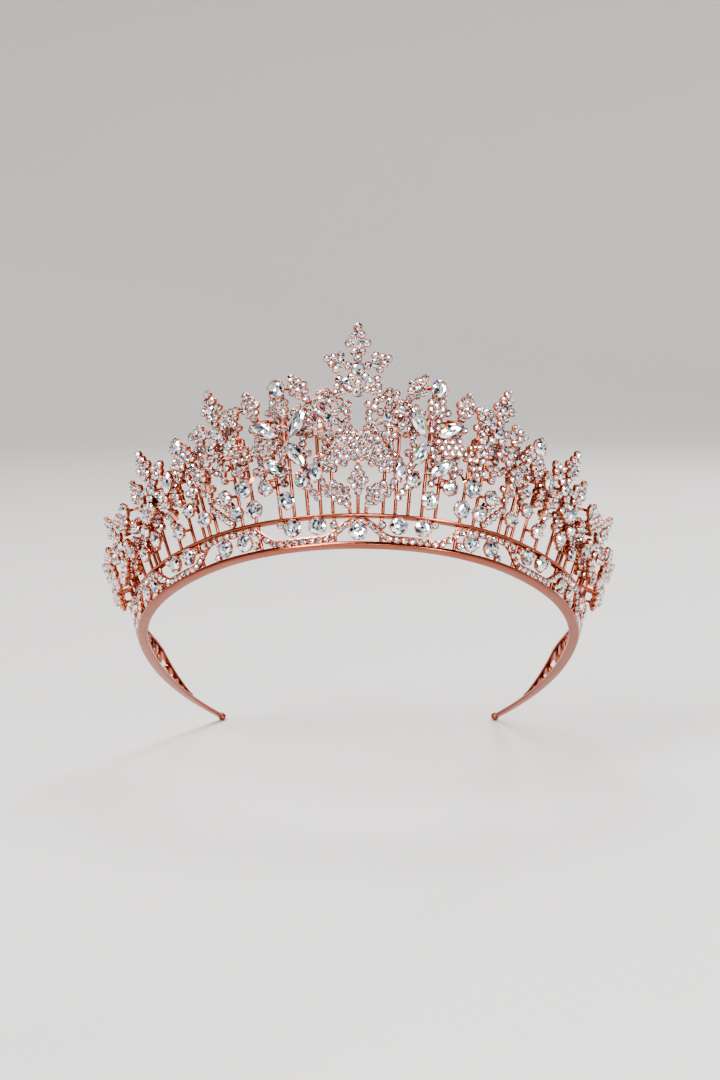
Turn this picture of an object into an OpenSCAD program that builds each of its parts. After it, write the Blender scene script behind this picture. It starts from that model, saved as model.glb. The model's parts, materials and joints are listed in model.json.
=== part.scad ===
// Bridal tiara. Two rails carry a gallery of round stones and a waved chain of small ones.
// Snowflakes, leaves, stemmed crystals and navette flowers stand above it. Lengths are in millimetres.
//
// A place on the tiara is (s, h): s is the length along the band from the middle of the brow, positive
// to the right, and h is the height square to the band's underside. "out" is the stand-off from the
// flared surface.

/* [Band] */
// Angle by which the band drops from brow to nape when worn
worn_tilt = 31.7; // [20:0.1:40]
// Radius of the band across the brow
brow_radius = 66; // [62:1:70]
// Radius of the band round the temples
temple_radius = 100; // [94:1:106]
// Radius of the arms behind the ears
arm_radius = 200; // [180:1:240]
// Angle of each arm's arc
arm_sweep = 25.5; // [22:0.5:27]
// Width of the lower rail, from its head side to its outside
lower_rail_w = 3.6; // [3:0.1:4]
// Thickness of the lower rail
lower_rail_t = 1.3; // [1:0.1:1.6]
// Width of the upper rail
upper_rail_w = 2; // [1.6:0.1:2.4]
// Thickness of the upper rail
upper_rail_t = 0.9; // [0.7:0.1:1.1]
// Height of the gallery over the band's underside
gallery_h = 9.2; // [8.8:0.1:10]
// Radius of the ball on each tip
tip_ball_r = 1.6; // [1.4:0.1:2]

/* [Ornament] */
// Outward lean of the gallery and the ornament
ornament_flare = 22; // [18:0.5:24]
// Thickness of the pierced plates that hold the small stones
plate_t = 0.9; // [0.7:0.1:1.2]
// Radius of the posts
post_r = 0.55; // [0.45:0.05:0.7]
// Thickness of the small stones over their plate
small_stone_t = 0.8; // [0.6:0.1:1]
// Depth of the cups behind the big stones
cup_t = 1.4; // [1:0.1:1.8]
// Thickness of the big stones over their cup
big_stone_t = 1.3; // [1:0.1:1.6]
// Wall of a cup round its stone
cup_wall = 0.3; // [0.2:0.05:0.4]

/* [Gallery stones] */
// Diameter of the gallery's round stones
gallery_stone_d = 5.3; // [5:0.1:5.6]
// Half the gap between the centres of a pair
pair_half_gap = 3.7; // [3.4:0.1:4]
// Length along the band from one pair to the next
pair_pitch = 23.2; // [22:0.1:24]
// Pitch of the stones in the waved chain
chain_pitch = 2.35; // [2.2:0.05:2.6]
// Diameter of the stones in the waved chain
chain_stone_d = 1.8; // [1.6:0.1:2]

/* [Hidden] */
$fn = 32;

// Band path: three arcs a side, each tangent to the next
brow_len = brow_radius * PI / 4;
temple_len = temple_radius * PI / 4;
arm_len = arm_radius * arm_sweep * PI / 180;
half_len = brow_len + temple_len + arm_len;
temple_shift = (temple_radius - brow_radius) * sqrt(0.5);
seat_y = brow_radius + temple_shift;
rail_step = 4;
solder = 0.05;
tie_r = 0.5;
tie_bite = 0.4;

// The flare fades out, and the gallery runs down to the lower rail, along the arms
flare_full_to = 115;
flare_gone_at = 150;
gallery_full_to = 158;
gallery_gone_at = 196;
arm_narrowing = 1.2;
upper_rail_end = 194;

// Depths at which things stand, out from the flared surface. Layers are a plate and its stones apart.
gallery_out = -0.6;
wave_out = 0.5;
post_out = -0.9;
first_layer = -0.3;
layer_gap = 0.1;
function layer_out(layer) = first_layer + layer * (plate_t + small_stone_t + layer_gap);
snowflake_out = 3.3;
cluster_out = 1;
navette_out = 2.4;
stem_out = 3.2;

// Path functions
function fraction(x, low, high) = min(1, max(0, (x - low) / (high - low)));
function heading(s) =
    let (a = abs(s))
    sign(s) * 180 / PI * (
        a < brow_len ? a / brow_radius :
        a < brow_len + temple_len ? PI / 4 + (a - brow_len) / temple_radius :
        PI / 2 + (a - brow_len - temple_len) / arm_radius);
function arc_radius(s) =
    abs(s) < brow_len ? brow_radius : abs(s) < brow_len + temple_len ? temple_radius : arm_radius;
function arc_centre(s) =
    abs(s) < brow_len ? [0, brow_radius] :
    abs(s) < brow_len + temple_len ? [-sign(s) * temple_shift, seat_y] :
    [sign(s) * (temple_radius - temple_shift - arm_radius), seat_y];
function foot(s) = arc_centre(s) + arc_radius(s) * [sin(heading(s)), -cos(heading(s))];
function flare(s) = ornament_flare * (1 - fraction(abs(s), flare_full_to, flare_gone_at));
function lower_w(s) = lower_rail_w - arm_narrowing * fraction(abs(s), gallery_full_to, half_len);
function gallery_top(s) =
    gallery_h - (gallery_h - lower_rail_t) * fraction(abs(s), gallery_full_to, gallery_gone_at);
function band_point(s, h, out = 0) =
    let (r = h * tan(flare(s)) + out)
    [foot(s).x + r * sin(heading(s)), foot(s).y - r * cos(heading(s)), h];
// How much longer the flared surface is than the band at height h
function spread(s, h) = 1 + h * tan(flare(s)) / arc_radius(s);

// The waved chain: 1 at a crest under the upper rail, -1 in a trough on the lower rail
wave_shift = 6.2;
wave_square = 1.5;
wave_step = 1.6;
function wave(s) = sin(90 * max(-1, min(1, wave_square * cos(180 * (abs(s) + wave_shift) / pair_pitch))));
wave_low = lower_rail_t + chain_stone_d / 2;
function wave_high(s) = max(wave_low, gallery_top(s) - upper_rail_t - chain_stone_d / 2);
function wave_h(s) = (wave_high(s) + wave_low) / 2 + (wave_high(s) - wave_low) / 2 * wave(s);
function wave_slope(s) = wave_h(s + 0.5) - wave_h(s - 0.5);

// Gallery stones stand below the chain's crests and above its troughs
first_pair = 15.4;
pair_count = 7;
gallery_rise = 0.6;
gallery_drop = 0.9;
gallery_pairs = [for (k = [0:pair_count - 1], j = [-1, 1]) first_pair + k * pair_pitch + j * pair_half_gap];
arm_stones = [[170, 4.2], [178.5, 3.2], [185, 2.6]];
gallery_places = concat(
    [[0, gallery_stone_d]],
    [for (side = [-1, 1], s = gallery_pairs) [side * s, gallery_stone_d]],
    [for (side = [-1, 1], a = arm_stones) [side * a[0], a[1]]]);
function gallery_h_at(s) = (gallery_top(s) + lower_rail_t - upper_rail_t) / 2 + gallery_rise
    - gallery_drop * wave(s) * fraction(-abs(s), -gallery_full_to - 4, -gallery_full_to);
chain_end = 160;
function chain_step(s) = chain_pitch / norm([1, wave_slope(s + chain_pitch / 3)]);
chain_half = [for (s = chain_pitch / 2; s < chain_end; s = s + chain_step(s)) s];
chain_places = [for (side = [-1, 1], s = chain_half) side * s];

// Accents: single small stones above the chain's troughs and below its crests, either side of each crest
accent_d = 1.9;
accent_first = 7;
accent_half_gap = 4.4;
accent_swing = 2.6;
accent_drop = 0.3;
accent_half = concat([accent_first], [for (k = [0:pair_count - 2], j = [-1, 1])
    first_pair + (k + 0.5) * pair_pitch + j * accent_half_gap]);
accent_places = [for (side = [-1, 1], s = accent_half)
    [side * s, (gallery_top(s) + lower_rail_t) / 2 - accent_drop - accent_swing * wave(s)]];

// Arms and leaves are rows of small stones: [x, y, diameter], y along the arm
arm_long = [
    [0, 3.1, 2.1], [-1.2, 5.2, 2], [1.2, 5.2, 2], [0, 7.6, 2.9], [-2.7, 7.7, 2.1], [2.7, 7.7, 2.1],
    [-1.15, 10.2, 2], [1.15, 10.2, 2], [0, 12.5, 2.2]];
arm_short = [
    [0, 3.1, 2], [0, 5.5, 2.6], [-2.2, 6.2, 1.9], [2.2, 6.2, 1.9], [-1.1, 8, 1.8], [1.1, 8, 1.8],
    [0, 9.7, 2]];
arm_tiny = [[0, 2.7, 1.9], [0, 4.9, 2.2], [-2, 5.5, 1.8], [2, 5.5, 1.8], [0, 7.1, 1.9]];
leaf_list = [
    [0, 1.1, 1.9], [-1.1, 3, 1.9], [1.1, 3, 1.9], [-2.1, 4.9, 1.9], [0, 4.9, 2], [2.1, 4.9, 1.9],
    [-1.1, 6.8, 1.9], [1.1, 6.8, 1.9], [0, 8.7, 2]];
drop_pitch = 2.1;
drop_list = [for (k = [0:4]) [0, 1 + drop_pitch * k, 1.9]];
sprig_list = [[0, 0, 1.9], [0, 2.1, 2], [-1.9, 3.4, 1.9], [1.9, 3.4, 1.9], [0, 4.3, 2]];

// Webs under the stones
flake_web = [1.4, 5.5];
stalk_w = 1;
leaf_stalk = 9;
drop_stalk = 9.6;
sprig_stalk = 4.8;

function turned(p, angle) =
    [p[0] * cos(angle) + p[1] * sin(angle), p[1] * cos(angle) - p[0] * sin(angle), p[2]];
function spokes(arm, angles) = [for (a = angles, p = arm) turned(p, a)];
centre_angles = [72, 138, 222, 288];
side_angles = [78, 140, 212, 298];
inner_angles = [0, 60, 120, 180, 240, 300];
centre_column = [[0, 0, 3.8], [0, -4.2, 1.8], [0, -6.8, 3.1]];
centre_flake = concat(centre_column, arm_long, spokes(arm_short, centre_angles));
side_flake = concat([[0, 0, 3.6]], arm_long, spokes(arm_short, side_angles));
inner_flake = concat([[0, 0, 3]], spokes(arm_tiny, inner_angles));

// Snowflakes: [s, h, lean towards the nape]
centre_place = [0, 49.4];
inner_place = [7.2, 36.4];
flake_places = [[35.4, 36.4, 4], [62.6, 29, 8], [90, 21.8, 26], [111, 17.5, 40]];

// Crystals on long stems: [s, h]
stem_places = [[18.6, 45.3], [48.2, 36.8], [79, 28.5], [101.5, 23.5]];
stem_crystal_d = 5.3;

// Round crystals over the upper rail: [s, h, diameter, further out]
cluster_places = [
    [19.3, 14, 5.3, 1], [25, 18.4, 4.6, 0], [30.8, 19.4, 5.6, 1.6], [37.4, 18.2, 4.4, 0.4],
    [28.6, 13, 5.2, 1.4], [34.6, 13, 4.8, 0.6], [14.6, 19.2, 4.4, 0.6], [45, 14, 4.8, 1.4],
    [50.6, 18.2, 4.4, 0.6],
    [56.2, 13.6, 4.8, 1.2], [67.4, 15, 5, 1.6], [72.6, 19.4, 4.4, 0.6], [76.6, 13.4, 4.6, 1],
    [82.8, 16.6, 4.8, 1.8], [98.4, 13.6, 4.6, 1], [104.2, 14.8, 4.4, 1.6], [119, 13, 4, 0.6]];

// Navette crystals: [s, h, turn from upright, length, further out]
navette_places = [
    [22.8, 34.2, 62, 9.2, 0], [14.5, 35.3, -30, 9.5, 0.6], [15.6, 26.6, 32, 9, 0.2], [21.4, 23.4, 50, 8, 0],
    [10.7, 21.4, -8, 6.6, 0], [55.4, 28.4, -30, 7.4, 0], [69.8, 23.6, 35, 7.4, 0]];
navette_w = 4.2;

// Leaves: [s, h, turn, layer]
leaf_places = [
    [11.6, 41, 34, 2], [17.6, 36.6, 22, 1], [25.4, 37.2, 14, 1], [19.4, 31.4, 112, 1], [28.2, 27, 58, 1],
    [2.3, 11, 34, 1], [43.4, 22.4, 20, 1], [52.4, 27.2, -18, 1], [43.4, 31.6, 62, 2],
    [53.4, 20.8, 40, 1], [72.4, 27, 10, 1], [76.8, 19.4, 44, 1], [84, 22.8, -32, 2], [96.6, 17.6, 20, 1],
    [107, 12.4, -22, 2], [119.4, 16.6, 50, 1]];

// Sprigs fill the ground behind the motifs, in columns from the brow to the temples: [s, h, turn]
sprig_pitch = 5.9;
sprig_columns = 18;
sprig_first = 8.4;
ground_top = 42;
ground_fall = 0.26;
ground_low = 11.5;
ground_arch = 6;
ground_arch_full_to = 50;
ground_arch_gone_at = 80;
sprig_swing = 14;
function ground_bottom(s) =
    ground_low + ground_arch * (1 - fraction(s, ground_arch_full_to, ground_arch_gone_at));
sprig_places = [for (i = [0:sprig_columns - 1], k = [0:4])
    let (
        s = sprig_first + sprig_pitch * i,
        h = ground_top - ground_fall * s - sprig_pitch * (k + 0.5 * (i % 2)),
        turn = sprig_swing * (((2 * i + 3 * k) % 5) / 2 - 1))
    if (h > ground_bottom(s)) [s, h, turn]];

// Single rows of stones that hang from the flowers: [s, h, turn]
drop_places = [[16, 21, 218], [11.6, 22.8, 206], [40.6, 18.6, 222], [43.1, 16.4, 226]];

// Bow in the middle: rows of stones inside two drooping lobes, and a lozenge below them
lobe_a = 7.9;
lobe_b = 4;
lobe_turn = 38;
lobe_place = [4.6, 28.6];
row_pitch = 2.05;
bow_stone_d = 1.85;
bow_web_w = 1.2;
bow_layer = 2;
row_rise = row_pitch * sqrt(0.75);
function in_lobe(p) = norm([p[0] / lobe_a, p[1] / lobe_b]) < 1;
bow_rows = [for (j = [-4:4], i = [-6:6])
    let (x = (i + (j % 2 == 0 ? 0 : 0.5)) * row_pitch, y = j * row_rise)
    if (in_lobe(turned([abs(x) - lobe_place.x, y, 0], -lobe_turn))) [x, y + lobe_place.y, bow_stone_d]];
lozenge_h = 20;
lozenge_rows = [for (j = [-2:2], i = [0:2 - abs(j)])
    [(i - (2 - abs(j)) / 2) * row_pitch, lozenge_h + j * row_rise, bow_stone_d]];
bow_list = concat(bow_rows, lozenge_rows);

// Posts in the gallery stand this far past the middle between two pairs
gallery_post_shift = 3;

// Posts behind the motifs: [s, h], each for all the motifs that stand within a post's gap of it
post_gap = 3.2;
held_lists = [[inner_place], flake_places, navette_places, cluster_places, leaf_places, sprig_places];
held = [for (places = held_lists, p = places) [p[0], p[1]]];
function beside(i) = [for (j = [0:len(held) - 1]) if (abs(held[j].x - held[i].x) < post_gap) j];
post_places = concat([[0, lobe_place.y]], [for (i = [0:len(held) - 1])
    if (min(beside(i)) == i) [held[i].x, max([for (j = beside(i)) held[j].y])]]);
function nearest_post(s) =
    let (gaps = [for (p = post_places) abs(p[0] - abs(s))])
    [for (i = [0:len(gaps) - 1]) if (gaps[i] == min(gaps)) post_places[i][0]][0] * (s < 0 ? -1 : 1);

// Ribbons of flat wire that loop between the motifs: [s, h, turn, length]
ribbon_places = [
    [8.6, 31.2, 12, 5], [9.6, 23, -20, 4.5], [27.6, 22.6, 150, 5], [42.6, 21, -24, 5], [57, 17.4, 12, 5]];

// Frame modules
module worn() {
    rotate([-worn_tilt, 0, 0])
        translate([0, -seat_y, 0])
            children();
}

module on_band(s, h, out = 0, turn = 0) {
    translate([foot(s).x, foot(s).y, 0])
        rotate([0, 0, heading(s)])
            translate([0, -h * tan(flare(s)), h])
                rotate([90 + flare(s), 0, 0])
                    rotate([0, 0, -turn])
                        translate([0, 0, out])
                            children();
}

// A strip that follows the band between two heights, with a ring of four corners at each station
module strip(stations, bottoms, tops, outs, widths) {
    n = len(stations);
    corners = [for (i = [0:n - 1])
        let (s = stations[i], o = outs[i], w = widths[i] / 2)
        each [
            band_point(s, bottoms[i], o - w), band_point(s, bottoms[i], o + w),
            band_point(s, tops[i], o + w), band_point(s, tops[i], o - w)]];
    sides = [for (i = [0:n - 2], k = [0:3])
        let (a = 4 * i + k, b = 4 * i + (k + 1) % 4)
        each [[a, a + 4, b], [b, a + 4, b + 4]]];
    polyhedron(corners, concat([[0, 1, 2], [0, 2, 3]], sides,
        [[4 * n - 1, 4 * n - 2, 4 * n - 3], [4 * n - 1, 4 * n - 3, 4 * n - 4]]));
}

// A tie from the nearest post to the back of a motif at (s, h) that stands at out
module tie(s, h, out) {
    run = (nearest_post(s) - s) * spread(s, h);
    depth = out - post_out;
    length = norm([run, depth]);
    on_band(s, h, out)
        rotate([0, atan2(-run, depth), 0])
            translate([0, 0, -length])
                cylinder(h = length + tie_bite, r = tie_r);
}

module cup(d) {
    cylinder(h = cup_t, d = d + 2 * cup_wall);
}

module round_stone(d) {
    translate([0, 0, cup_t])
        cylinder(h = big_stone_t, d = d);
}

module small_stones(list) {
    for (p = list)
        translate([p[0], p[1], plate_t])
            cylinder(h = small_stone_t, d = p[2]);
}

// A plate of round lobes, one under each stone, held together by a web
module pierced_plate(list) {
    linear_extrude(plate_t) {
        for (p = list)
            translate([p[0], p[1]])
                circle(d = p[2] + 2 * cup_wall);
        children();
    }
}

module flake_plate(list, angles) {
    pierced_plate(list)
        for (a = angles)
            rotate(-a)
                translate([-flake_web.x / 2, 0])
                    square(flake_web);
}

// A plate with a straight web under the stones of a leaf, a sprig or a drop
module stalk_plate(list, stalk) {
    pierced_plate(list)
        translate([-stalk_w / 2, -stalk_w / 2])
            square([stalk_w, stalk]);
}

module navette(length, thickness, grow = 0) {
    w = navette_w + 2 * grow;
    l = length + 2 * grow;
    r = (l * l + w * w) / (4 * w);
    linear_extrude(thickness)
        intersection() {
            translate([r - w / 2, 0])
                circle(r, $fn = 96);
            translate([w / 2 - r, 0])
                circle(r, $fn = 96);
        }
}

// A post from the upper rail to a motif's back
module post(s, h, out) {
    low = gallery_top(s) - solder;
    on_band(s, low, out)
        rotate([-90, 0, 0])
            cylinder(h = (h - low) / cos(flare(s)), r = post_r);
}

// Band
module lower_rail() {
    s_list = concat([for (s = [-half_len:rail_step:half_len - 1]) s], [half_len]);
    outer = [for (s = s_list) let (p = band_point(s, 0, lower_w(s) / 2)) [p.x, p.y]];
    inner = [for (i = [len(s_list) - 1:-1:0])
        let (s = s_list[i], p = band_point(s, 0, -lower_w(s) / 2)) [p.x, p.y]];
    color("rosybrown")
        worn()
            linear_extrude(lower_rail_t)
                polygon(concat(outer, inner));
}

module upper_rail() {
    s_list = concat([for (s = [-upper_rail_end:rail_step:upper_rail_end - 1]) s], [upper_rail_end]);
    color("rosybrown")
        worn()
            strip(
                s_list,
                [for (s = s_list) max(lower_rail_t, gallery_top(s) - upper_rail_t)],
                [for (s = s_list) max(lower_rail_t, gallery_top(s) - upper_rail_t) + upper_rail_t],
                [for (s = s_list) 0],
                [for (s = s_list) upper_rail_w]);
}

module tip_balls() {
    color("rosybrown")
        worn()
            for (side = [-1, 1])
                translate(band_point(side * (half_len + tip_ball_r * 0.9), 0))
                    translate([0, 0, lower_rail_t / 2])
                        sphere(tip_ball_r);
}

module gallery_posts() {
    color("rosybrown")
        worn()
            for (side = [-1, 1], k = [0:pair_count - 1]) {
                s = side * (first_pair + (k - 0.5) * pair_pitch + gallery_post_shift);
                h = gallery_top(s) - upper_rail_t - lower_rail_t;
                on_band(s, lower_rail_t, 0)
                    rotate([-90, 0, 0])
                        cylinder(h = h / cos(flare(s)), r = post_r);
            }
}

module gallery_cups() {
    color("rosybrown")
        worn()
            for (g = gallery_places)
                on_band(g[0], gallery_h_at(g[0]), gallery_out)
                    cup(g[1]);
}

module gallery_stones() {
    color("lightcyan")
        worn()
            for (g = gallery_places)
                on_band(g[0], gallery_h_at(g[0]), gallery_out)
                    round_stone(g[1]);
}

module wave_strip() {
    half_w = chain_stone_d / 2;
    s_list = [for (s = [-chain_end:wave_step:chain_end]) s];
    color("rosybrown")
        worn()
            strip(
                s_list,
                [for (s = s_list) wave_h(s) - half_w * norm([1, wave_slope(s)])],
                [for (s = s_list) wave_h(s) + half_w * norm([1, wave_slope(s)])],
                [for (s = s_list) wave_out],
                [for (s = s_list) plate_t]);
}

module wave_stones() {
    color("lightcyan")
        worn()
            for (s = chain_places)
                on_band(s, wave_h(s), wave_out + plate_t / 2)
                    cylinder(h = small_stone_t, d = chain_stone_d);
}

module accent_cups() {
    color("rosybrown")
        worn()
            for (a = accent_places)
                on_band(a[0], a[1], 0)
                    cylinder(h = plate_t, d = accent_d + 2 * cup_wall);
}

module accent_stones() {
    color("lightcyan")
        worn()
            for (a = accent_places)
                on_band(a[0], a[1], 0)
                    translate([0, 0, plate_t])
                        cylinder(h = small_stone_t, d = accent_d);
}

// Structure behind the ornament
module ornament_posts() {
    color("rosybrown")
        worn() {
            for (side = [-1, 1], p = post_places)
                if (side > 0 || p[0] > 0)
                    post(side * p[0], p[1], post_out);
        }
}

module sprig_frames(side) {
    color("rosybrown")
        worn()
            for (p = sprig_places) {
                tie(side * p[0], p[1], layer_out(0));
                on_band(side * p[0], p[1], layer_out(0), side * p[2])
                    stalk_plate(sprig_list, sprig_stalk);
            }
}

module sprig_stones(side) {
    color("lightcyan")
        worn()
            for (p = sprig_places)
                on_band(side * p[0], p[1], layer_out(0), side * p[2])
                    small_stones(sprig_list);
}

// Snowflakes
module flake_frame(side, place) {
    color("rosybrown")
        worn() {
            tie(side * place[0], place[1], snowflake_out);
            on_band(side * place[0], place[1], snowflake_out, side * place[2])
                mirror([side > 0 ? 0 : 1, 0, 0])
                    flake_plate(side_flake, concat([0], side_angles));
        }
}

module flake_stones(side, place) {
    color("lightcyan")
        worn()
            on_band(side * place[0], place[1], snowflake_out, side * place[2])
                mirror([side > 0 ? 0 : 1, 0, 0])
                    small_stones(side_flake);
}

module snowflake_frames_inner() {
    color("rosybrown")
        worn()
            for (side = [-1, 1]) {
                tie(side * inner_place[0], inner_place[1], layer_out(1));
                on_band(side * inner_place[0], inner_place[1], layer_out(1))
                    flake_plate(inner_flake, inner_angles);
            }
}

module snowflake_stones_inner() {
    color("lightcyan")
        worn()
            for (side = [-1, 1])
                on_band(side * inner_place[0], inner_place[1], layer_out(1))
                    small_stones(inner_flake);
}

module snowflake_frame_centre() {
    color("rosybrown")
        worn()
            on_band(centre_place[0], centre_place[1], snowflake_out)
                flake_plate(centre_flake, concat([0], centre_angles));
}

module snowflake_stones_centre() {
    color("lightcyan")
        worn()
            on_band(centre_place[0], centre_place[1], snowflake_out)
                small_stones(centre_flake);
}

// Crystals on stems
module stem_wires(side) {
    color("rosybrown")
        worn()
            for (p = stem_places)
                post(side * p[0], p[1], post_out);
}

module stem_cups(side) {
    color("rosybrown")
        worn()
            for (p = stem_places) {
                tie(side * p[0], p[1], stem_out);
                on_band(side * p[0], p[1], stem_out)
                    cup(stem_crystal_d);
            }
}

module stem_crystals(side) {
    color("lightcyan")
        worn()
            for (p = stem_places)
                on_band(side * p[0], p[1], stem_out)
                    round_stone(stem_crystal_d);
}

// Round clusters
module cluster_cups(side) {
    color("rosybrown")
        worn()
            for (c = cluster_places) {
                tie(side * c[0], c[1], cluster_out + c[3]);
                on_band(side * c[0], c[1], cluster_out + c[3])
                    cup(c[2]);
            }
}

module cluster_stones(side) {
    color("lightcyan")
        worn()
            for (c = cluster_places)
                on_band(side * c[0], c[1], cluster_out + c[3])
                    round_stone(c[2]);
}

// Navettes
module navette_cups(side) {
    color("rosybrown")
        worn()
            for (n = navette_places) {
                tie(side * n[0], n[1], navette_out + n[4]);
                on_band(side * n[0], n[1], navette_out + n[4], side * n[2])
                    navette(n[3], cup_t, cup_wall);
            }
}

module navette_stones(side) {
    color("lightcyan")
        worn()
            for (n = navette_places)
                on_band(side * n[0], n[1], navette_out + n[4], side * n[2])
                    translate([0, 0, cup_t])
                        navette(n[3], big_stone_t);
}

// Leaves
module leaf_frames(side) {
    color("rosybrown")
        worn()
            for (p = leaf_places) {
                tie(side * p[0], p[1], layer_out(p[3]));
                on_band(side * p[0], p[1], layer_out(p[3]), side * p[2])
                    stalk_plate(leaf_list, leaf_stalk);
            }
}

module leaf_stone_sets(side) {
    color("lightcyan")
        worn()
            for (p = leaf_places)
                on_band(side * p[0], p[1], layer_out(p[3]), side * p[2])
                    small_stones(leaf_list);
}

module stone_drops(side) {
    color("rosybrown")
        worn()
            for (p = drop_places) {
                tie(side * p[0], p[1], layer_out(1));
                on_band(side * p[0], p[1], layer_out(1), side * p[2])
                    stalk_plate(drop_list, drop_stalk);
            }
}

module drop_stones(side) {
    color("lightcyan")
        worn()
            for (p = drop_places)
                on_band(side * p[0], p[1], layer_out(1), side * p[2])
                    small_stones(drop_list);
}

// Bow in the middle
module bow_frame() {
    color("rosybrown")
        worn() {
            tie(0, (lozenge_h + lobe_place.y) / 2, layer_out(bow_layer));
            on_band(0, 0, layer_out(bow_layer))
                pierced_plate(bow_list)
                    translate([-bow_web_w / 2, lozenge_h])
                        square([bow_web_w, lobe_place.y - lozenge_h]);
        }
}

module bow_stones() {
    color("lightcyan")
        worn()
            on_band(0, 0, layer_out(bow_layer))
                small_stones(bow_list);
}

module ribbon_loops() {
    ribbon_w = 1.4;
    ribbon_t = 0.35;
    color("rosybrown")
        worn()
            for (side = [-1, 1], p = ribbon_places)
                on_band(side * p[0], p[1], navette_out, side * p[2])
                    translate([-ribbon_w / 2, 0, 0])
                        cube([ribbon_w, p[3], ribbon_t]);
}

lower_rail();
upper_rail();
tip_balls();
gallery_posts();
gallery_cups();
gallery_stones();
wave_strip();
wave_stones();
accent_cups();
accent_stones();
ornament_posts();
sprig_frames(-1);  // sprig_frames_left
sprig_stones(-1);  // sprig_stones_left
sprig_frames(1);  // sprig_frames_right
sprig_stones(1);  // sprig_stones_right
snowflake_frame_centre();
snowflake_stones_centre();
snowflake_frames_inner();
snowflake_stones_inner();
flake_frame(-1, flake_places[0]);  // snowflake_frame_left_1
flake_stones(-1, flake_places[0]);  // snowflake_stones_left_1
flake_frame(1, flake_places[0]);  // snowflake_frame_right_1
flake_stones(1, flake_places[0]);  // snowflake_stones_right_1
flake_frame(-1, flake_places[1]);  // snowflake_frame_left_2
flake_stones(-1, flake_places[1]);  // snowflake_stones_left_2
flake_frame(1, flake_places[1]);  // snowflake_frame_right_2
flake_stones(1, flake_places[1]);  // snowflake_stones_right_2
flake_frame(-1, flake_places[2]);  // snowflake_frame_left_3
flake_stones(-1, flake_places[2]);  // snowflake_stones_left_3
flake_frame(1, flake_places[2]);  // snowflake_frame_right_3
flake_stones(1, flake_places[2]);  // snowflake_stones_right_3
flake_frame(-1, flake_places[3]);  // snowflake_frame_left_4
flake_stones(-1, flake_places[3]);  // snowflake_stones_left_4
flake_frame(1, flake_places[3]);  // snowflake_frame_right_4
flake_stones(1, flake_places[3]);  // snowflake_stones_right_4
stem_wires(-1);  // stem_wires_left
stem_cups(-1);  // stem_cups_left
stem_crystals(-1);  // stem_crystals_left
stem_wires(1);  // stem_wires_right
stem_cups(1);  // stem_cups_right
stem_crystals(1);  // stem_crystals_right
cluster_cups(-1);  // cluster_cups_left
cluster_stones(-1);  // cluster_stones_left
cluster_cups(1);  // cluster_cups_right
cluster_stones(1);  // cluster_stones_right
navette_cups(-1);  // navette_cups_left
navette_stones(-1);  // navette_stones_left
navette_cups(1);  // navette_cups_right
navette_stones(1);  // navette_stones_right
leaf_frames(-1);  // leaf_frames_left
leaf_stone_sets(-1);  // leaf_stones_left
leaf_frames(1);  // leaf_frames_right
leaf_stone_sets(1);  // leaf_stones_right
stone_drops(-1);  // stone_drops_left
drop_stones(-1);  // drop_stones_left
stone_drops(1);  // stone_drops_right
drop_stones(1);  // drop_stones_right
bow_frame();
bow_stones();
ribbon_loops();
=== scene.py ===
"""Looks for the bridal tiara: faceted stones in claw settings, cast plates, rails and wires in rose gold.

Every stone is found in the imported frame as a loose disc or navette, and is cut and set where it lies.
Lengths are in metres, in the row frame.
"""

import json
import math

import bmesh
import bpy
import numpy as np
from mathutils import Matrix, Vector


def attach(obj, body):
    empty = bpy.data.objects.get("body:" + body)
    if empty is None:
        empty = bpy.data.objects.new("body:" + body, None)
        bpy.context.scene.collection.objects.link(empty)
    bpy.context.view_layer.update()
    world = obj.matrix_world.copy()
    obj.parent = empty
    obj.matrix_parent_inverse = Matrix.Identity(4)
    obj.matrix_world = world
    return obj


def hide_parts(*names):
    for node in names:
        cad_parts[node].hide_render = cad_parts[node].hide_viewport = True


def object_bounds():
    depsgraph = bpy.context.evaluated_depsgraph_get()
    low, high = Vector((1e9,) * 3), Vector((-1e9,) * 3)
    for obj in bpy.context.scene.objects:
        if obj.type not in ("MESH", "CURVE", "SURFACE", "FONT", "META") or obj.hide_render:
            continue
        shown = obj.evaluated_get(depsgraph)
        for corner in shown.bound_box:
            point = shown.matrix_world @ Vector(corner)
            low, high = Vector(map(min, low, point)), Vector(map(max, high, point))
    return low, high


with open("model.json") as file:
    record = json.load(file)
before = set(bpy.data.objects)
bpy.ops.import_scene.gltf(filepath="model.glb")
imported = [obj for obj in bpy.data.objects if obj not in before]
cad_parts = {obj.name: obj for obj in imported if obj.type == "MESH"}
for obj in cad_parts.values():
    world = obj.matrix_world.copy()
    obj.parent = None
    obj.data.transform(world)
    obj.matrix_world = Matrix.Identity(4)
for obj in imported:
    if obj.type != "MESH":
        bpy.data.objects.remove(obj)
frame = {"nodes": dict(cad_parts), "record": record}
cad_low, cad_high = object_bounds()
MM = 0.001
BODY = "root"
rng = np.random.default_rng(7)

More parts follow.
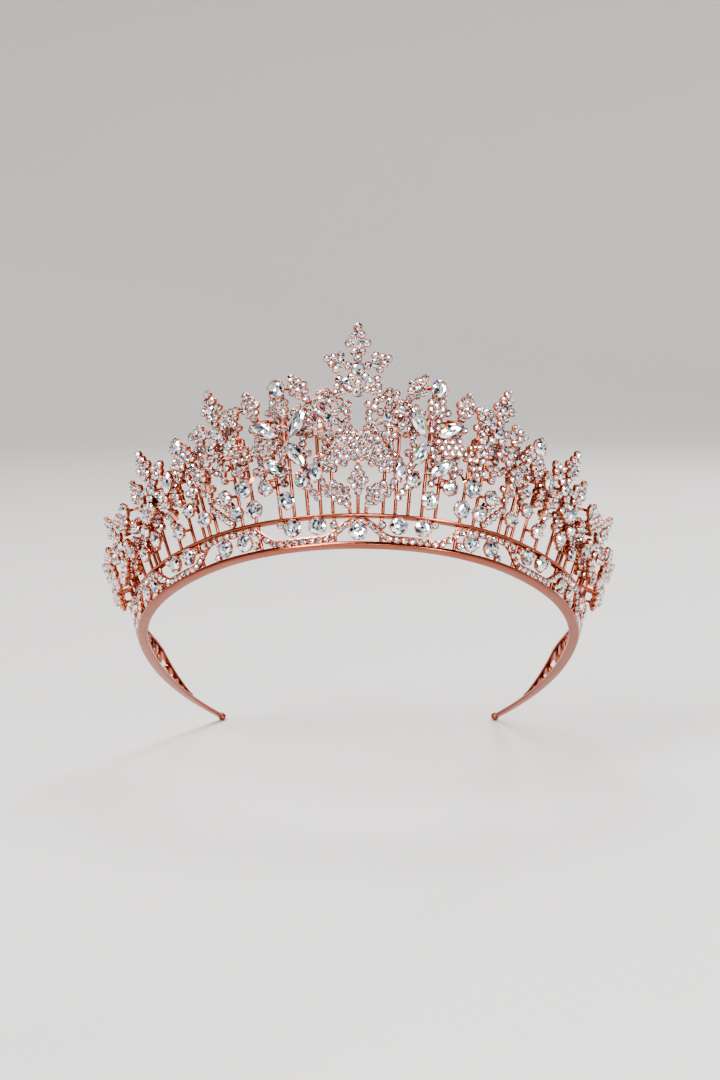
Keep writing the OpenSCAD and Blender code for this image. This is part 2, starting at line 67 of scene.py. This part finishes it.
# Each node of stones, and the node of the plates or cups that hold them
SIDES = ("left", "right")
SMALL_SETS = {
    "wave_stones": "wave_strip",
    "accent_stones": "accent_cups",
    "snowflake_stones_centre": "snowflake_frame_centre",
    "snowflake_stones_inner": "snowflake_frames_inner",
    "bow_stones": "bow_frame",
}
BIG_SETS = {"gallery_stones": "gallery_cups"}
for side in SIDES:
    SMALL_SETS[f"leaf_stones_{side}"] = f"leaf_frames_{side}"
    SMALL_SETS[f"sprig_stones_{side}"] = f"sprig_frames_{side}"
    SMALL_SETS[f"drop_stones_{side}"] = f"stone_drops_{side}"
    BIG_SETS[f"stem_crystals_{side}"] = f"stem_cups_{side}"
    BIG_SETS[f"cluster_stones_{side}"] = f"cluster_cups_{side}"
    BIG_SETS[f"navette_stones_{side}"] = f"navette_cups_{side}"
    for number in range(1, 5):
        SMALL_SETS[f"snowflake_stones_{side}_{number}"] = f"snowflake_frame_{side}_{number}"

# Cut of a stone, from the table down: share of its outline, share of its height over the plate or cup
INNER_TABLE = (0.30, 1.03)
TABLE = (0.56, 1.0)
STAR = (0.80, 0.74)
UPPER_GIRDLE = (1.0, 0.42)
LOWER_GIRDLE = (1.0, 0.24)
BASE = (0.82, -0.08)
TABLE_MIDDLE_LEVEL = 0.93
# Small stones are cut a little larger than their discs, so that neighbours meet
SMALL_STONE_GROWTH = 1.08
# A stone longer than this many widths is a navette
NAVETTE_STRETCH = 1.3

# Cup round a stone, from its rim to its back: share of the outline, height, share of the wall.
# A height over the stone's base is a share of the stone's, and one under it a share of the cup's depth.
CUP_WALL = 0.16 * MM
CUP_PROFILE = [
    (0.96, 0.10, 0.0), (1.0, 0.34, 0.35), (1.0, 0.30, 0.9), (1.0, 0.10, 1.0),
    (0.94, -0.5, 0.6), (0.72, -0.88, 0.3), (0.42, -1.0, 0.0)]
SMALL_CUP_DEPTH = 1.2 * MM
BIG_CUP_DEPTH = 1.4 * MM

# Claw from its root to its tip: share of the outline, of the stone's height and of the claw's radius
CLAW_PATH = [
    (1.02, -0.5, 0.8), (1.06, 0.2, 1.0), (1.04, 0.55, 1.0), (0.95, 0.86, 0.95), (0.84, 0.98, 0.6)]
CLAW_TIP = (0.81, 1.04)
# Over this share of the height a claw lies over its stone, and only this share of its section stands up
CLAW_BENDS_AT = 0.7
CLAW_LIE = 0.35
SMALL_CLAW_R = 0.15 * MM
BIG_CLAW_R = 0.27 * MM
SMALL_CLAW_ANGLES = math.pi / 4 + math.pi / 2 * np.arange(4)
BIG_CLAW_ANGLES = math.pi / 3 * np.arange(6)
NAVETTE_CLAW_ANGLES = np.array([0.42, 1.57, 2.72, 3.56, 4.71, 5.86])

# Tie behind a big cup: it starts inside the cup's back, and ends at the mean of the solid's far points
TIE_R = 0.5 * MM
TIE_REACH = 5 * MM
TIE_START = 0.9
TIE_NEAR_SHARE = 0.45
# A solid is a stone's own cup if it has points enough near the stone and its top is at the stone's base
CUP_FEWEST_POINTS = 20
CUP_SLACK = 0.2 * MM

# Clean-up and rounding of the cast pieces
WELD = 1e-7
FLAT_ANGLE = math.radians(0.6)
ROUNDED_ANGLE = math.radians(40)
SHARP_ANGLE = math.radians(35)
PLATE_ROUNDING = 0.14 * MM

# Ribbons: rings along one, share of its width lost at the tip, how far it bows out, how deep it starts
RIBBON_STATIONS = 9
RIBBON_TAPER = 0.75
RIBBON_BOW = 1.1 * MM
RIBBON_SINK = 0.5 * MM

# Crystal facet tones: name, colour, share of the facets.
# Each tone is a painted reflection or painted fire (bright, grey, black, rose or coloured) that stands in
# for refraction.
TONES = [
    ("painted_glint", (0.97, 0.99, 1.0), 0.34),
    ("pale", (0.72, 0.81, 0.88), 0.16),
    ("painted_grey_reflection", (0.38, 0.46, 0.54), 0.15),
    ("painted_dark_reflection", (0.12, 0.155, 0.19), 0.16),
    ("painted_black_reflection", (0.020, 0.019, 0.021), 0.135),
    ("painted_rose_reflection", (0.85, 0.55, 0.46), 0.02),
    ("painted_blue_fire", (0.16, 0.38, 1.0), 0.014),
    ("painted_gold_fire", (1.0, 0.66, 0.18), 0.011),
    ("painted_green_fire", (0.25, 0.92, 0.55), 0.010),
]

# Polish marks take the metal's roughness this far down and up, and the floor's paint drifts to this shade
POLISHED = 0.07
WORN = 0.09
PAINT_SHADE = 0.96

# Camera: in front, level with the top of the tiara, looking slightly down
CAMERA_PLACE = (0.0006, -0.5232, 0.1138)
CAMERA_LENS = 50
CAMERA_SENSOR = 36
CAMERA_NEAR = 0.01
LIT_POINT = (0, 0, 0.02)
LOOK_DOWN = math.radians(8.2)


# Geometry helpers
def unit(v):
    return v / np.linalg.norm(v, axis=-1, keepdims=True)


def loose_parts(node):
    """The points of each separate solid in a CAD node."""
    mesh = frame["nodes"][node].data
    points = np.empty(len(mesh.vertices) * 3, np.float32)
    mesh.vertices.foreach_get("co", points)
    points, place = np.unique(np.round(points.reshape(-1, 3), 7), axis=0, return_inverse=True)
    place = place.reshape(-1)
    mesh.calc_loop_triangles()
    corners = np.empty(len(mesh.loop_triangles) * 3, np.int32)
    mesh.loop_triangles.foreach_get("vertices", corners)
    corners = place[corners.reshape(-1, 3)]
    label = np.arange(len(points))
    while True:
        lowest = label[corners].min(1)
        before = label.copy()
        for k in range(3):
            np.minimum.at(label, corners[:, k], lowest)
        label = label[label]
        if (label == before).all():
            break
    return [points[label == which].astype(float) for which in np.unique(label)]


def outward(point, tilt):
    """The way out from the head at a point, parallel to the band's plane."""
    y = point[1] * math.cos(tilt) - point[2] * math.sin(tilt)
    flat = unit(np.array([point[0], y]))
    return np.array([flat[0], flat[1] * math.cos(tilt), -flat[1] * math.sin(tilt)])


def own_frame(points, tilt):
    """A flat solid's middle, its axes (across, along and out of its broad face) and its points in them."""
    middle = points.mean(0)
    _, turn = np.linalg.eigh(np.cov((points - middle).T))
    out, along = turn[:, 0], turn[:, 2]
    if out @ outward(middle, tilt) < 0:
        out = -out
    axes = np.stack([np.cross(along, out), along, out])
    return middle, axes, (points - middle) @ axes.T


def ring_faces(first, second, n):
    """Quads between two rings of n points, the first nearer the top."""
    return [[first + k, second + k, second + (k + 1) % n, first + (k + 1) % n] for k in range(n)]


class Stones:
    """Where the stones of a node lie: base centres, axes (across, along, out), half sizes and heights."""

    def __init__(self, node, tilt):
        centre, axes, half, tall = [], [], [], []
        for points in loose_parts(node):
            middle, own_axes, local = own_frame(points, tilt)
            low, high = local.min(0), local.max(0)
            base = np.append((low[:2] + high[:2]) / 2, low[2])
            centre.append(middle + base @ own_axes)
            axes.append(own_axes)
            half.append((high - low)[:2] / 2)
            tall.append(high[2] - low[2])
        self.centre, self.axes = np.array(centre), np.array(axes)
        self.half, self.tall = np.array(half), np.array(tall)
        self.round = self.half[:, 1] < NAVETTE_STRETCH * self.half[:, 0]

    def spin(self):
        """Turns each round stone about its own axis by a chance angle."""
        angle = rng.uniform(0, 2 * math.pi, len(self.centre)) * self.round
        c, s = np.cos(angle)[:, None], np.sin(angle)[:, None]
        across, along = self.axes[:, 0].copy(), self.axes[:, 1].copy()
        self.axes[:, 0] = c * across + s * along
        self.axes[:, 1] = c * along - s * across

    def outline(self, angles):
        """Girdle points in each stone's own plane at these angles: a circle, or a navette's two arcs."""
        w, l = self.half[:, :1], self.half[:, 1:]
        circle = np.stack([w * np.cos(angles), w * np.sin(angles)], -1)
        y = l * np.sin(angles)
        radius = (l * l + w * w) / (2 * w)
        side_of = np.sign(np.round(np.cos(angles), 6))
        x = side_of * (np.sqrt(np.maximum(radius**2 - y**2, 0)) - (radius - w))
        return np.where(self.round[:, None, None], circle, np.stack([x, y], -1))

    def place(self, flat, height):
        """Row-frame points from each stone's own plane and height over its base."""
        return (
            self.centre[:, None]
            + flat[..., :1] * self.axes[:, None, 0]
            + flat[..., 1:] * self.axes[:, None, 1]
            + height[..., None] * self.axes[:, None, 2]
        )


class Build:
    """Collects points and faces, and makes one mesh object of them."""

    def __init__(self):
        self.points = []
        self.faces = []
        self.tones = []
        self.smooth = []
        self.count = 0

    def add(self, points, faces, tone=0, smooth=False):
        """Adds copies of one shape: points is (copies, n, 3), and faces lists the corners within a copy.

        tone is the material number, or one number for each copy's each face.
        """
        copies, n = points.shape[:2]
        tones = np.broadcast_to(tone, (copies, len(faces)))
        starts = self.count + n * np.arange(copies)
        for size in sorted({len(f) for f in faces}):
            chosen = [i for i, f in enumerate(faces) if len(f) == size]
            corners = np.array([faces[i] for i in chosen])
            self.faces.append((starts[:, None, None] + corners).reshape(-1, size))
            self.tones.append(tones[:, chosen].reshape(-1))
            self.smooth.append(np.full(copies * len(chosen), smooth))
        self.points.append(points.reshape(-1, 3))
        self.count += copies * n

    def object(self, name, materials):
        mesh = bpy.data.meshes.new(name)
        points = np.concatenate(self.points)
        sizes = np.concatenate([np.full(len(f), f.shape[1]) for f in self.faces])
        corners = np.concatenate([f.reshape(-1) for f in self.faces])
        loop_starts = np.concatenate([[0], np.cumsum(sizes)[:-1]])
        mesh.vertices.add(len(points))
        mesh.vertices.foreach_set("co", points.astype(np.float32).reshape(-1))
        mesh.loops.add(len(corners))
        mesh.loops.foreach_set("vertex_index", corners.astype(np.int32))
        mesh.polygons.add(len(sizes))
        mesh.polygons.foreach_set("loop_start", loop_starts.astype(np.int32))
        mesh.polygons.foreach_set("material_index", np.concatenate(self.tones).astype(np.int32))
        mesh.polygons.foreach_set("use_smooth", np.concatenate(self.smooth))
        for material in materials:
            mesh.materials.append(material)
        mesh.update(calc_edges=True)
        mesh.validate()
        made = bpy.data.objects.new(name, mesh)
        bpy.context.scene.collection.objects.link(made)
        return made


# Parts of a setting
def cut_gems(build, stones, sides, fine):
    """A brilliant cut with its table, stars, kites and girdle facets. A fine one has a split table too."""
    step = 2 * math.pi / sides
    whole, between = step * np.arange(sides), step * (np.arange(sides) + 0.5)
    girdle = step / 2 * np.arange(2 * sides)
    rings = [(TABLE, whole), (STAR, between), (UPPER_GIRDLE, girdle), (LOWER_GIRDLE, girdle), (BASE, girdle)]
    if fine:
        rings.append((INNER_TABLE, between))
    flat, height, starts, total = [], [], [], 0
    for (scale, level), angles in rings:
        flat.append(scale * stones.outline(angles))
        height.append(np.repeat(level * stones.tall[:, None], len(angles), 1))
        starts.append(total)
        total += len(angles)
    flat.append(np.zeros((len(stones.centre), 1, 2)))
    height.append(TABLE_MIDDLE_LEVEL * stones.tall[:, None])
    middle = total
    table, star, upper, lower, base = starts[:5]
    faces = []
    for k in range(sides):
        before, after = (k - 1) % sides, (k + 1) % sides
        faces.append([table + k, star + k, table + after])
        faces.append([table + k, star + before, upper + 2 * k, star + k])
        faces.append([star + k, upper + 2 * k, upper + 2 * k + 1])
        faces.append([star + k, upper + 2 * k + 1, upper + 2 * after])
        if fine:
            inner = starts[5]
            faces.append([middle, inner + k, inner + after])
            faces.append([inner + k, table + k, table + after])
            faces.append([inner + before, table + k, inner + k])
        else:
            faces.append([middle, table + k, table + after])
    faces += ring_faces(upper, lower, 2 * sides)
    faces += ring_faces(lower, base, 2 * sides)
    faces.append([base + k for k in reversed(range(2 * sides))])
    # Each facet takes one painted reflection or painted fire tone at random, by the shares in TONES
    shares = np.array([share for _, _, share in TONES])
    tone = rng.choice(len(TONES), (len(stones.centre), len(faces)), p=shares / shares.sum())
    build.add(stones.place(np.concatenate(flat, 1), np.concatenate(height, 1)), faces, tone)


def cups(build, stones, depth, segments):
    """A tapered cup round each stone, with a rolled rim and a domed back."""
    outline = stones.outline(2 * math.pi / segments * np.arange(segments))
    widths = np.linalg.norm(outline, axis=-1, keepdims=True)
    flat, height, faces = [], [], []
    for i, (scale, level, wall) in enumerate(CUP_PROFILE):
        flat.append(outline * (scale + wall * CUP_WALL / widths))
        tall = level * stones.tall if level > 0 else np.full_like(stones.tall, level * depth)
        height.append(np.repeat(tall[:, None], segments, 1))
        if i > 0:
            faces += ring_faces((i - 1) * segments, i * segments, segments)
    back = (len(CUP_PROFILE) - 1) * segments
    faces.append([back + k for k in reversed(range(segments))])
    build.add(stones.place(np.concatenate(flat, 1), np.concatenate(height, 1)), faces, smooth=True)


def claws(build, stones, angles, radius, sides=6):
    """Claws that rise beside each stone and bend over its girdle, with rounded tips."""
    tip = len(CLAW_PATH) * sides
    last = tip - sides
    faces = []
    for i in range(len(CLAW_PATH) - 1):
        faces += [f[::-1] for f in ring_faces(i * sides, (i + 1) * sides, sides)]
    faces += [[tip, last + k, last + (k + 1) % sides] for k in range(sides)]
    for angle in angles:
        outline = stones.outline(np.array([angle]))[:, 0]
        reach = unit(outline)
        across = np.stack([-reach[:, 1], reach[:, 0]], -1)
        flat, height = [], []
        for scale, level, girth in CLAW_PATH:
            stand = 1 if level < CLAW_BENDS_AT else CLAW_LIE
            for k in range(sides):
                turn = 2 * math.pi * k / sides
                side = math.cos(turn) * radius * girth
                up = math.sin(turn) * radius * girth
                flat.append(outline * scale + across * side + reach * up * stand)
                height.append(level * stones.tall + up * (1 - stand))
        flat.append(outline * CLAW_TIP[0])
        height.append(CLAW_TIP[1] * stones.tall)
        build.add(stones.place(np.stack(flat, 1), np.stack(height, 1)), faces, tone=1, smooth=True)


def tube(build, a, b, radius, sides=10):
    """A round bar from a to b."""
    along = unit(b - a)
    aslant = [0.3, 0.5, 0.8]
    first = unit(np.cross(along, aslant))
    second = np.cross(along, first)
    turn = 2 * math.pi / sides * np.arange(sides)
    ring = radius * (np.cos(turn)[:, None] * first + np.sin(turn)[:, None] * second)
    faces = [f[::-1] for f in ring_faces(0, sides, sides)]
    faces.append([k for k in reversed(range(sides))])
    faces.append([sides + k for k in range(sides)])
    build.add(np.concatenate([a + ring, b + ring])[None], faces, smooth=True)


def tie_ends(stones, node):
    """(back of the cup, far end of its tie) for each stone of a cups node whose cup has a tie."""
    ends = []
    for points in loose_parts(node):
        for centre, axes in zip(stones.centre, stones.axes):
            local = (points - centre) @ axes.T
            near = np.hypot(local[:, 0], local[:, 1]) < TIE_REACH
            if near.sum() < CUP_FEWEST_POINTS:
                continue
            top, bottom = local[near, 2].max(), local[near, 2].min()
            if abs(top) > CUP_SLACK or bottom > -BIG_CUP_DEPTH - CUP_SLACK:
                continue
            beyond = local[near, 2] < -BIG_CUP_DEPTH + TIE_NEAR_SHARE * (bottom + BIG_CUP_DEPTH)
            ends.append((centre - TIE_START * BIG_CUP_DEPTH * axes[2], points[near][beyond].mean(0)))
    return ends


def cast_copy(node, rounding, segments=2):
    """A copy of a CAD node's mesh with rounded edges."""
    mesh = frame["nodes"][node].data.copy()
    work = bmesh.new()
    work.from_mesh(mesh)
    bmesh.ops.remove_doubles(work, verts=work.verts, dist=WELD)
    bmesh.ops.dissolve_limit(work, angle_limit=FLAT_ANGLE, verts=work.verts, edges=work.edges)
    work.to_mesh(mesh)
    work.free()
    mesh.materials.clear()
    made = bpy.data.objects.new(node + "_cast", mesh)
    bpy.context.scene.collection.objects.link(made)
    bevel = made.modifiers.new("rounding", "BEVEL")
    bevel.width = rounding
    bevel.segments = segments
    bevel.limit_method = "ANGLE"
    bevel.angle_limit = ROUNDED_ANGLE
    rounded = bpy.data.meshes.new_from_object(made.evaluated_get(bpy.context.evaluated_depsgraph_get()))
    made.modifiers.clear()
    made.data = rounded
    rounded.shade_smooth()
    rounded.set_sharp_from_angle(angle=SHARP_ANGLE)
    return made


# Materials
def principled(name):
    material = bpy.data.materials.new(name)
    material.use_nodes = True
    tree = material.node_tree
    return material, tree.nodes, tree.links, tree.nodes["Principled BSDF"]


def noise(nodes, scale, detail=2):
    texture = nodes.new("ShaderNodeTexNoise")
    texture.inputs["Scale"].default_value = scale
    texture.inputs["Detail"].default_value = detail
    return texture


def vary_roughness(nodes, links, shader, texture, low, high):
    spread = nodes.new("ShaderNodeMapRange")
    spread.inputs["To Min"].default_value = low
    spread.inputs["To Max"].default_value = high
    links.new(texture.outputs["Fac"], spread.inputs["Value"])
    links.new(spread.outputs["Result"], shader.inputs["Roughness"])


def vary_colour(nodes, links, shader, texture, first, second):
    blend = nodes.new("ShaderNodeMix")
    blend.data_type = "RGBA"
    blend.inputs["A"].default_value = (*first, 1)
    blend.inputs["B"].default_value = (*second, 1)
    links.new(texture.outputs["Fac"], blend.inputs["Factor"])
    links.new(blend.outputs["Result"], shader.inputs["Base Color"])


def crystal(name, colour):
    """A facet of one painted tone, a painted reflection that stands in for the light of a foil-backed
    crystal, with a slight polish grain in its roughness.
    """
    material, nodes, links, shader = principled("crystal_" + name)
    shader.inputs["Base Color"].default_value = (*colour, 1)
    shader.inputs["Metallic"].default_value = 0.82
    shader.inputs["IOR"].default_value = 1.6
    shader.inputs["Coat Weight"].default_value = 0.6
    shader.inputs["Coat Roughness"].default_value = 0.02
    vary_roughness(nodes, links, shader, noise(nodes, scale=900), low=0.03, high=0.12)
    return material


def rose_gold(name, colour, rough, varied=None):
    """Polished rose-gold plating: casting ripple in the bump, polish marks in the roughness.

    With a second colour, the plating drifts between the two.
    """
    material, nodes, links, shader = principled(name)
    shader.inputs["Base Color"].default_value = (*colour, 1)
    shader.inputs["Metallic"].default_value = 1.0
    place = nodes.new("ShaderNodeTexCoord")
    ripple = noise(nodes, scale=420, detail=4)
    links.new(place.outputs["Object"], ripple.inputs["Vector"])
    bump = nodes.new("ShaderNodeBump")
    bump.inputs["Strength"].default_value = 0.25
    bump.inputs["Distance"].default_value = 0.08 * MM
    links.new(ripple.outputs["Fac"], bump.inputs["Height"])
    links.new(bump.outputs["Normal"], shader.inputs["Normal"])
    marks = noise(nodes, scale=160, detail=6)
    links.new(place.outputs["Object"], marks.inputs["Vector"])
    vary_roughness(nodes, links, shader, marks, low=rough - POLISHED, high=rough + WORN)
    if varied:
        vary_colour(nodes, links, shader, marks, colour, varied)
    return material


def stage_paint(name, colour, rough):
    material, nodes, links, shader = principled(name)
    darker = [PAINT_SHADE * c for c in colour]
    vary_colour(nodes, links, shader, noise(nodes, scale=3), colour, darker)
    shader.inputs["Roughness"].default_value = rough
    return material


CRYSTAL = [crystal(name, colour) for name, colour, _ in TONES]
# One rose-gold plating throughout: the claw colour is near the plating's own, while the cast, rail and wire
# colours are darkened copies, painted shade and dark reflections, the cast's deepest
SHADED_CAST = rose_gold("rose_gold_cast_painted_shade", (0.43, 0.13, 0.075), rough=0.22)
CLAW = rose_gold("rose_gold_claw", (0.78, 0.34, 0.22), rough=0.18)
SHADED_RAIL = rose_gold("rose_gold_rail_painted_shade", (0.36, 0.11, 0.068), rough=0.20, varied=(0.28, 0.08, 0.048))
SHADED_WIRE = rose_gold("rose_gold_wire_painted_shade", (0.40, 0.12, 0.074), rough=0.22)


# Pieces
def finish_piece(piece, slot, *nodes):
    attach(piece, BODY)
    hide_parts(*nodes)


def band_tilt():
    """The band's drop from brow to nape, from the mount on its underside."""
    under = next(m for m in frame["record"]["mounts"] if m["name"] == "band_underside")
    return math.atan2(-under["axis"][1], -under["axis"][2])


def small_set(stones_node, plate_node, tilt):
    """Small stones, the plate that they stand on, and a cup with four claws for each."""
    stones = Stones(stones_node, tilt)
    stones.spin()
    stones.half *= SMALL_STONE_GROWTH
    gems = Build()
    cut_gems(gems, stones, sides=6, fine=False)
    finish_piece(gems.object(stones_node + "_cut", CRYSTAL), "crystal", stones_node)
    plate = cast_copy(plate_node, PLATE_ROUNDING)
    plate.data.materials.append(SHADED_CAST)
    finish_piece(plate, "rose_metal", plate_node)
    setting = Build()
    cups(setting, stones, SMALL_CUP_DEPTH, segments=12)
    claws(setting, stones, SMALL_CLAW_ANGLES, SMALL_CLAW_R)
    piece = setting.object(stones_node + "_claws", [SHADED_CAST, CLAW])
    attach(piece, BODY)


def big_set(stones_node, cups_node, tilt):
    """Big stones, each in its own cup with six claws and a tie to the posts behind it."""
    stones = Stones(stones_node, tilt)
    stones.spin()
    gems = Build()
    cut_gems(gems, stones, sides=8, fine=True)
    finish_piece(gems.object(stones_node + "_cut", CRYSTAL), "crystal", stones_node)
    setting = Build()
    cups(setting, stones, BIG_CUP_DEPTH, segments=24)
    angles = BIG_CLAW_ANGLES if stones.round.all() else NAVETTE_CLAW_ANGLES
    claws(setting, stones, angles, BIG_CLAW_R)
    for back, end in tie_ends(stones, cups_node):
        tube(setting, back, end, TIE_R)
    finish_piece(setting.object(cups_node + "_cast", [SHADED_CAST, CLAW]), "rose_metal", cups_node)


def bare_metal(node, material, slot, rounding, segments=3):
    """A rail, a wire or a set of posts or balls, with its edges rounded."""
    piece = cast_copy(node, rounding, segments)
    piece.data.materials.append(material)
    finish_piece(piece, slot, node)


def ribbons(node, tilt):
    """Flat wire ends, bowed out from the motifs and cut to a blade."""
    build = Build()
    corners = ((-1, -1), (1, -1), (1, 1), (-1, 1))
    tip = 4 * (RIBBON_STATIONS - 1)
    faces = []
    for start in range(0, tip, 4):
        faces += [f[::-1] for f in ring_faces(start, start + 4, 4)]
    faces += [[3, 2, 1, 0], [tip, tip + 1, tip + 2, tip + 3]]
    for points in loose_parts(node):
        middle, (across, along, out), local = own_frame(points, tilt)
        half_w, half_l, half_t = (local.max(0) - local.min(0)) / 2
        rows = []
        for f in np.linspace(0, 1, RIBBON_STATIONS):
            width = half_w * (1 - RIBBON_TAPER * f**2)
            lift = RIBBON_BOW * math.sin(math.pi * f) - RIBBON_SINK
            centre = middle + along * half_l * (2 * f - 1) + out * lift
            rows += [centre + across * width * x + out * half_t * z for x, z in corners]
        build.add(np.array(rows)[None], faces)
    finish_piece(build.object(node + "_bent", [CLAW]), "rose_metal", node)


def tiara():
    tilt = band_tilt()
    for stones_node, plate_node in SMALL_SETS.items():
        small_set(stones_node, plate_node, tilt)
    for stones_node, cups_node in BIG_SETS.items():
        big_set(stones_node, cups_node, tilt)
    bare_metal("lower_rail", SHADED_RAIL, "band_metal", rounding=0.4 * MM, segments=4)
    bare_metal("upper_rail", SHADED_RAIL, "band_metal", rounding=0.28 * MM)
    bare_metal("tip_balls", SHADED_RAIL, "band_metal", rounding=0.05 * MM)
    bare_metal("gallery_posts", SHADED_WIRE, "rose_metal", rounding=0.1 * MM)
    bare_metal("ornament_posts", SHADED_WIRE, "rose_metal", rounding=0.15 * MM)
    for side in SIDES:
        bare_metal(f"stem_wires_{side}", SHADED_WIRE, "rose_metal", rounding=0.15 * MM)
    ribbons("ribbon_loops", tilt)


# Stage, lights and camera
def studio():
    """A pale round floor whose edge curves up into a low wall all round."""
    floor_radius = 1.6
    flat_share = 0.96
    curve = 1.2
    curve_steps = 12
    wall_top = 1.9
    segments = 96
    profile = [(flat_share * floor_radius, 0.0), (floor_radius, 0.0)]
    for i in range(1, curve_steps + 1):
        angle = math.pi / 2 * i / curve_steps
        profile.append((floor_radius + curve * math.sin(angle), curve * (1 - math.cos(angle))))
    profile.append((floor_radius + curve, wall_top))
    turns = [2 * math.pi * k / segments for k in range(segments)]
    points = [[0.0, 0.0, cad_low[2]]]
    points += [[r * math.cos(a), r * math.sin(a), cad_low[2] + z] for r, z in profile for a in turns]
    faces = [[0, 1 + k, 1 + (k + 1) % segments] for k in range(segments)]
    for i in range(len(profile) - 1):
        faces += ring_faces(1 + i * segments, 1 + (i + 1) * segments, segments)
    build = Build()
    build.add(np.array(points)[None], faces, smooth=True)
    build.object("studio_bowl", [stage_paint("bowl_paint", (0.66, 0.64, 0.625), 0.7)])


def add_light(name, kind, energy, place, towards):
    """A light at a place, turned to shine along a direction."""
    light = bpy.data.lights.new(name, kind)
    light.energy = energy
    made = bpy.data.objects.new(name, light)
    made.location = place
    made.rotation_euler = Vector(towards).to_track_quat("-Z", "Y").to_euler()
    bpy.context.scene.collection.objects.link(made)
    return light


def softbox(name, place, size, power):
    """A rectangular soft light that faces the tiara."""
    light = add_light(name, "AREA", power, place, Vector(LIT_POINT) - Vector(place))
    light.shape = "RECTANGLE"
    light.size, light.size_y = size


def lights():
    softbox("key", place=(-0.8, -1.2, 1.0), size=(0.45, 0.45), power=30)
    softbox("fill", place=(1.0, -1.1, 0.45), size=(0.3, 0.5), power=12)
    softbox("top", place=(0.0, 0.1, 1.5), size=(1.0, 0.4), power=18)
    softbox("back", place=(0.7, 1.0, 0.9), size=(0.4, 0.4), power=10)
    softbox("low", place=(0.1, -1.4, 0.22), size=(0.5, 0.10), power=5)
    sun = add_light("sun", "SUN", energy=1.3, place=(0, 0, 0), towards=(0.3, 0.6, -1))
    sun.angle = math.radians(20)
    world = bpy.data.worlds.new("studio_air")
    world.use_nodes = True
    air = world.node_tree.nodes["Background"]
    air.inputs["Color"].default_value = (0.80, 0.82, 0.86, 1)
    air.inputs["Strength"].default_value = 0.08
    bpy.context.scene.world = world


def camera():
    data = bpy.data.cameras.new("camera")
    data.lens = CAMERA_LENS
    data.sensor_width = CAMERA_SENSOR
    data.clip_start = CAMERA_NEAR
    made = bpy.data.objects.new("camera", data)
    made.location = CAMERA_PLACE
    made.rotation_euler = (math.pi / 2 - LOOK_DOWN, 0, 0)
    bpy.context.scene.collection.objects.link(made)
    bpy.context.scene.camera = made


bpy.context.scene.view_settings.look = "AgX - Medium High Contrast"
camera()
tiara()
studio()
lights()
